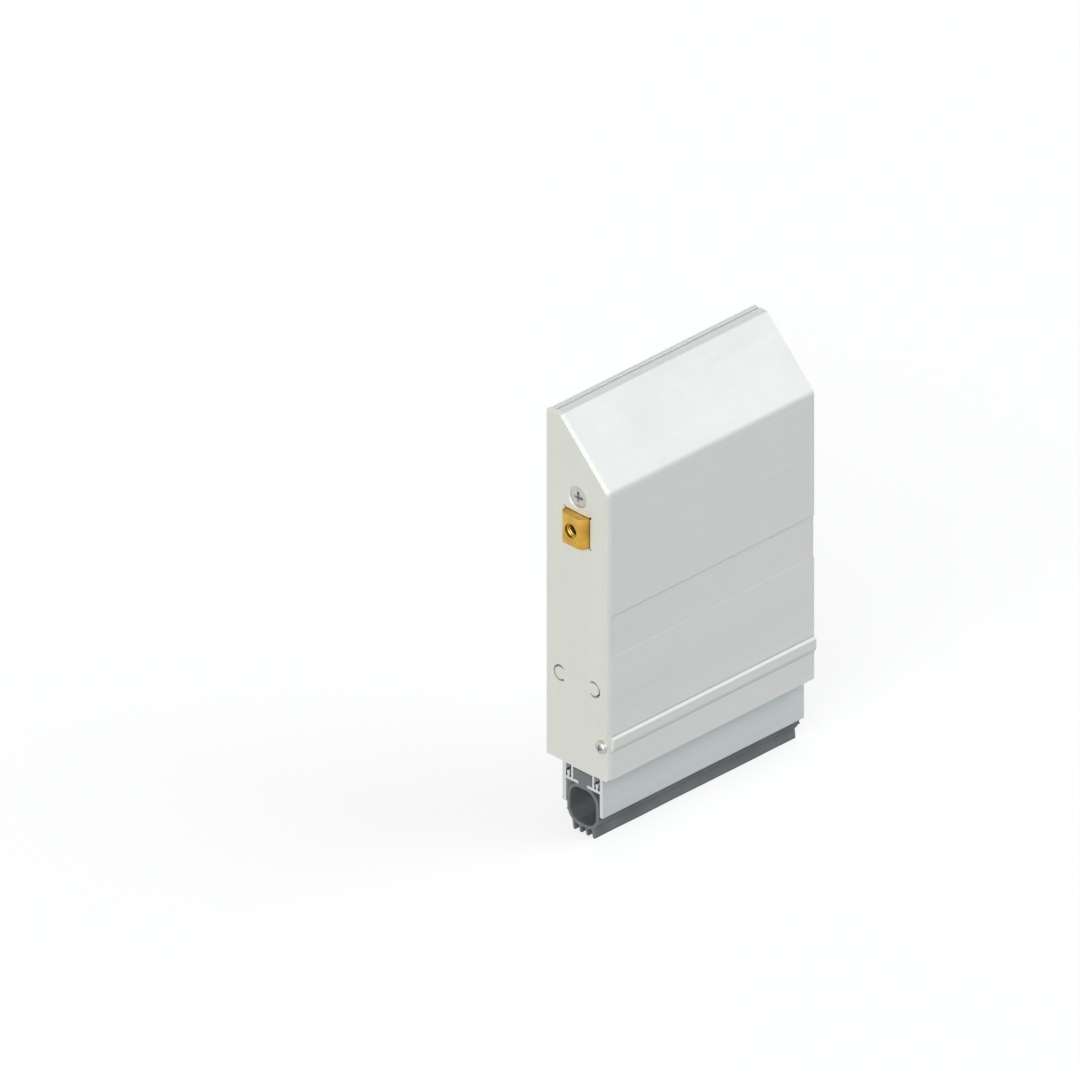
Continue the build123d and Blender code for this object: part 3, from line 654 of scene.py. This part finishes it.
def cross_head_screw(node, head, recess_width, recess_depth):
    """Turn a screw from its head's profile and cut its recess; the shank and tip follow the node's box."""
    low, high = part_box(node)
    centre = (low + high) / 2
    core = head[-1][1]
    profile = [(low.x + x * MM, radius * MM) for x, radius in head]
    profile += [(high.x - core * MM, core * MM), (high.x - SCREW_TIP * MM, core / 3 * MM), (high.x, 0.0)]
    blank = show_mesh("screw_blank", mesh_from("screw_blank", turned(profile, centre)))
    cutter = cross_cutter(low.x, centre, recess_width * MM, recess_depth * MM)
    cut = blank.modifiers.new("recess", "BOOLEAN")
    cut.operation = "DIFFERENCE"
    cut.solver = "EXACT"
    cut.object = cutter
    plain_mesh(blank)
    bpy.data.objects.remove(cutter)
    shape = bmesh.new()
    shape.from_mesh(blank.data)
    bmesh.ops.remove_doubles(shape, verts=shape.verts, dist=SCREW_JOIN_WITHIN)
    bpy.data.objects.remove(blank)
    slot = slot_of(node)
    piece = shaped_piece(f"{node}_turned", shape, slot, SCREW_SHARP_FROM)
    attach(piece, body_of(node))
    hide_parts(node)


def geometry_tree(name, inputs):
    """Start a Geometry Nodes tree with named sizes; give the tree, its input node and its output node."""
    tree = bpy.data.node_groups.new(name, "GeometryNodeTree")
    tree.is_modifier = True
    for label, value in inputs.items():
        kind = "NodeSocketInt" if isinstance(value, int) else "NodeSocketFloat"
        tree.interface.new_socket(label, in_out="INPUT", socket_type=kind).default_value = value
    tree.interface.new_socket("Geometry", in_out="OUTPUT", socket_type="NodeSocketGeometry")
    return tree, tree.nodes.new("NodeGroupInput"), tree.nodes.new("NodeGroupOutput")


def close_tree(tree, result, geometry, material):
    """End a tree with real geometry that has its finish."""
    real = put(tree, "GeometryNodeRealizeInstances", {"Geometry": geometry}).outputs[0]
    finished = put(tree, "GeometryNodeSetMaterial", {"Geometry": real, "Material": material}).outputs[0]
    tree.links.new(finished, result.inputs["Geometry"])


def coil_tree(name, material, sides):
    """Tree for a wire or thread that winds along X, and may close up and thin out at its ends."""
    sizes = {
        "Start": 0.0, "Level Y": 0.0, "Level Z": 0.0, "Length": 0.01, "Turns": 5.0, "Radius": 0.003,
        "Thickness": 0.0004, "Closing": 0.0, "Fade": 0.0, "Points per Turn": 32,
    }
    tree, given, result = geometry_tree(name, sizes)
    size = given.outputs
    spiral = put(tree, "GeometryNodeCurveSpiral", {
        "Resolution": size["Points per Turn"], "Rotations": size["Turns"], "Start Radius": size["Radius"],
        "End Radius": size["Radius"], "Height": size["Length"],
    }).outputs[0]
    along = put(tree, "GeometryNodeSplineParameter").outputs["Factor"]
    swing = math_node(tree, "SINE", product(tree, along, 2 * math.pi))
    eased = product(tree, math_node(tree, "DIVIDE", swing, 2 * math.pi), size["Closing"])
    rise = product(tree, math_node(tree, "SUBTRACT", along, eased), size["Length"])
    place = apart(tree, put(tree, "GeometryNodeInputPosition").outputs[0])
    moved = put(tree, "ShaderNodeCombineXYZ", {"X": place["X"], "Y": place["Y"], "Z": rise}).outputs[0]
    wound = put(tree, "GeometryNodeSetPosition", {"Geometry": spiral, "Position": moved}).outputs[0]
    edge = math_node(tree, "MINIMUM", along, math_node(tree, "SUBTRACT", 1.0, along))
    never_zero = total(tree, size["Fade"], 1e-6)
    faded = math_node(tree, "MINIMUM", math_node(tree, "DIVIDE", edge, never_zero), 1.0)
    thick = put(tree, "GeometryNodeSetCurveRadius", {"Curve": wound, "Radius": faded}).outputs[0]
    upright = put(tree, "GeometryNodeSetCurveNormal", {"Curve": thick}, mode="Z_UP").outputs[0]
    outline = {"Resolution": sides, "Radius": size["Thickness"]}
    section = put(tree, "GeometryNodeCurvePrimitiveCircle", outline).outputs["Curve"]
    wire = put(tree, "GeometryNodeCurveToMesh", {
        "Curve": upright, "Profile Curve": section, "Fill Caps": True
    }).outputs[0]
    start = {"X": size["Start"], "Y": size["Level Y"], "Z": size["Level Z"]}
    shift = put(tree, "ShaderNodeCombineXYZ", start).outputs[0]
    laid = put(tree, "GeometryNodeTransform", {
        "Geometry": wire, "Translation": shift, "Rotation": (0.0, math.pi / 2, 0.0)
    }).outputs[0]
    close_tree(tree, result, laid, material)
    return tree


def grown(name, tree, values, degrees):
    """Run a tree with its own sizes and give what it makes as a plain mesh."""
    piece = show_mesh(name, bpy.data.meshes.new(name))
    modifier = piece.modifiers.new(name, "NODES")
    modifier.node_group = tree
    for item in tree.interface.items_tree:
        if item.in_out == "INPUT" and item.name in values:
            modifier[item.identifier] = values[item.name]
    plain_mesh(piece)
    smooth(piece.data, degrees)
    return piece


def add_return_spring():
    """Round spring wire with closed ends, running from the stop block, built at rest over the return spring's
    node.
    """
    low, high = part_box("return_spring")
    wire = SPRING_WIRE * MM
    centre = (low + high) / 2
    tree = coil_tree("spring_coil", MATERIALS["spring_steel"], SPRING_SIDES)
    spring = grown("return_spring_coil", tree, {
        "Start": low.x + wire / 2, "Level Y": centre.y, "Level Z": centre.z, "Length": high.x - low.x - wire,
        "Turns": SPRING_TURNS, "Radius": SPRING_RADIUS * MM, "Thickness": wire / 2,
        "Closing": SPRING_CLOSING, "Points per Turn": 40,
    }, WIRE_SHARP_FROM)
    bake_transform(spring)
    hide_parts("return_spring")


def add_threads():
    """Raised threads on the two screws' shanks and in the plunger's bore."""
    tree = coil_tree("thread_ridge", MATERIALS["plated_steel"], THREAD_SIDES)
    for node, start, pitch, core, height in SCREW_THREADS:
        low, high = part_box(node)
        centre = (low + high) / 2
        length = high.x - low.x - (start + THREAD_END) * MM
        ridge = grown(f"{node}_thread", tree, {
            "Start": low.x + start * MM, "Level Y": centre.y, "Level Z": centre.z, "Length": length,
            "Turns": length / (pitch * MM), "Radius": core * MM, "Thickness": height * MM, "Fade": 0.1,
            "Points per Turn": 28,
        }, THREAD_SHARP_FROM)
        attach(ridge, body_of(node))
    low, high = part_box("plunger_block")
    centre = (low + high) / 2
    bore_tree = coil_tree("bore_thread_ridge", MATERIALS["brass"], THREAD_SIDES)
    bore = grown("plunger_bore_thread", bore_tree, {
        "Start": low.x + BORE_THREAD_START * MM, "Level Y": centre.y, "Level Z": centre.z,
        "Length": BORE_THREAD_LENGTH * MM, "Turns": BORE_THREAD_TURNS, "Radius": BORE_RADIUS * MM,
        "Thickness": BORE_THREAD_RIDGE * MM, "Fade": 0.12, "Points per Turn": 36,
    }, THREAD_SHARP_FROM)
    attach(bore, "plunger")


def add_gasket():
    """Rubber gasket: rounded edges, a slight waviness where it hangs free, and ends that a knife left."""
    low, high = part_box("bulb_gasket")
    shape = merged_copy("bulb_gasket")
    round_edges(shape, GASKET_EDGE * MM)
    for cut in range(1, GASKET_CUTS):
        x = low.x + (high.x - low.x) * cut / GASKET_CUTS
        whole = shape.verts[:] + shape.edges[:] + shape.faces[:]
        bmesh.ops.bisect_plane(shape, geom=whole, plane_co=(x, 0, 0), plane_no=(1, 0, 0))
    held = HOUSING_LOW.z - GASKET_HELD_UNDER * MM
    span = held - low.z
    for vertex in shape.verts:
        place = vertex.co
        free = min(max((held - place.z) / span, 0.0), 1.0)
        end = min(place.x - low.x, high.x - place.x)
        wave = field.noise(Vector((place.x * 55.0, place.z * 30.0, 4.0)))
        ripple = field.noise(Vector((place.x * 160.0, place.y * 120.0, place.z * 120.0)))
        place.y += free * (GASKET_WAVE * wave + GASKET_RIPPLE_ACROSS * ripple) * MM
        if end > GASKET_END * MM and place.z > low.z + GASKET_LIP * MM:
            place.z += free * GASKET_RIPPLE_UP * ripple * MM
        if end < GASKET_KNIFE_REACH * MM:
            rough = field.noise(Vector((7.0, place.y * 500.0, place.z * 500.0)))
            inwards = 1.0 if place.x < 0 else -1.0
            place.x += inwards * GASKET_KNIFE * (1.0 + rough) * MM
    piece = shaped_piece("bulb_gasket_rubber", shape, "gasket_rubber")
    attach(piece, "seal_bar")
    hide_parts("bulb_gasket")


for node_name, edge_radius in EDGE_RADII.items():
    rounded_copy(node_name, edge_radius * MM)
for screw in SCREWS:
    cross_head_screw(*screw)
add_return_spring()
add_threads()
add_gasket()


def seen_directly(tree):
    """Mask for rays from the camera and for those that metal or glass reflects or lets through."""
    rays = put(tree, "ShaderNodeLightPath").outputs
    seen = math_node(tree, "MAXIMUM", rays["Is Camera Ray"], rays["Is Glossy Ray"])
    return math_node(tree, "MAXIMUM", seen, rays["Is Transmission Ray"])


def add_floor():
    """Plain pale floor just under the gasket, white outside the shadow and clear when seen from below."""
    level = SEAL_LOW[2] - FLOOR_GAP
    corners = [(x * FLOOR_REACH, y * FLOOR_REACH, level) for x, y in ((-1, -1), (1, -1), (1, 1), (-1, 1))]
    mesh = bpy.data.meshes.new("floor")
    mesh.from_pydata(corners, [], [(0, 1, 2, 3)])
    floor = show_mesh("floor", mesh)
    material, tree, shader = new_material("pale_floor", 0.0, Specular_IOR_Level=0.0)
    shader.inputs["Base Color"].default_value = (FLOOR_TONE, FLOOR_TONE, FLOOR_TONE, 1.0)
    shader.inputs["Roughness"].default_value = 0.9
    shader.inputs["Emission Color"].default_value = (1.0, 1.0, 1.0, 1.0)
    glow = remap(tree, seen_directly(tree), 0.0, 1.0, 0.0, FLOOR_GLOW)
    tree.links.new(glow, shader.inputs["Emission Strength"])
    below = put(tree, "ShaderNodeNewGeometry").outputs["Backfacing"]
    tree.links.new(math_node(tree, "SUBTRACT", 1.0, below), shader.inputs["Alpha"])
    mesh.materials.append(material)


def add_world():
    """Even white surroundings, seen as white and lighting the seal softly."""
    world = bpy.data.worlds.new("studio")
    bpy.context.scene.world = world
    world.use_nodes = True
    tree = world.node_tree
    background = tree.nodes["Background"]
    background.inputs["Color"].default_value = (1.0, 1.0, 1.0, 1.0)
    strength = remap(tree, seen_directly(tree), 0.0, 1.0, AMBIENT, 1.0)
    tree.links.new(strength, background.inputs["Strength"])


def add_sun(name, towards, strength, spread, colour):
    """A broad soft light from far away, shining from the direction given."""
    lamp = bpy.data.lights.new(name, "SUN")
    lamp.energy = strength
    lamp.color = colour
    lamp.angle = math.radians(spread)
    sun = bpy.data.objects.new(name, lamp)
    sun.rotation_euler = Vector(towards).to_track_quat("Z", "Y").to_euler()
    bpy.context.scene.collection.objects.link(sun)


def add_camera():
    """Parallel view from the upper left, turned 45 degrees from the front, as in the photograph."""
    turn = math.radians(-45.0)
    rise = math.radians(30.23)
    across, above = -3.635 * MM, 71.05 * MM
    distance = 1.5
    back = Vector((math.sin(turn) * math.cos(rise), -math.cos(turn) * math.cos(rise), math.sin(rise)))
    right = Vector((math.cos(turn), math.sin(turn), 0.0))
    up = back.cross(right)
    near_foot = Vector((HOUSING_LOW.x, 0.0, HOUSING_LOW.z))
    aim = near_foot + right * across + up * above
    data = bpy.data.cameras.new("camera")
    data.type = "ORTHO"
    data.ortho_scale = VIEW_WIDTH
    data.clip_end = 10.0
    camera = bpy.data.objects.new("camera", data)
    facing = Matrix((right, up, back)).transposed().to_4x4()
    camera.matrix_world = Matrix.Translation(aim + back * distance) @ facing
    bpy.context.scene.collection.objects.link(camera)
    bpy.context.scene.camera = camera


bpy.context.scene.view_settings.view_transform = "Standard"
add_floor()
add_world()
add_sun("key_light", (-0.88, -0.42, 0.34), 2.1, 50.0, (0.99, 1.0, 0.985))
add_sun("slope_light", (0.611, -0.503, 0.611), 1.15, 45.0, (0.955, 1.0, 1.04))
add_sun("back_light", (0.35, 0.9, 0.05), 1.1, 50.0, (0.97, 1.0, 1.03))
add_camera()
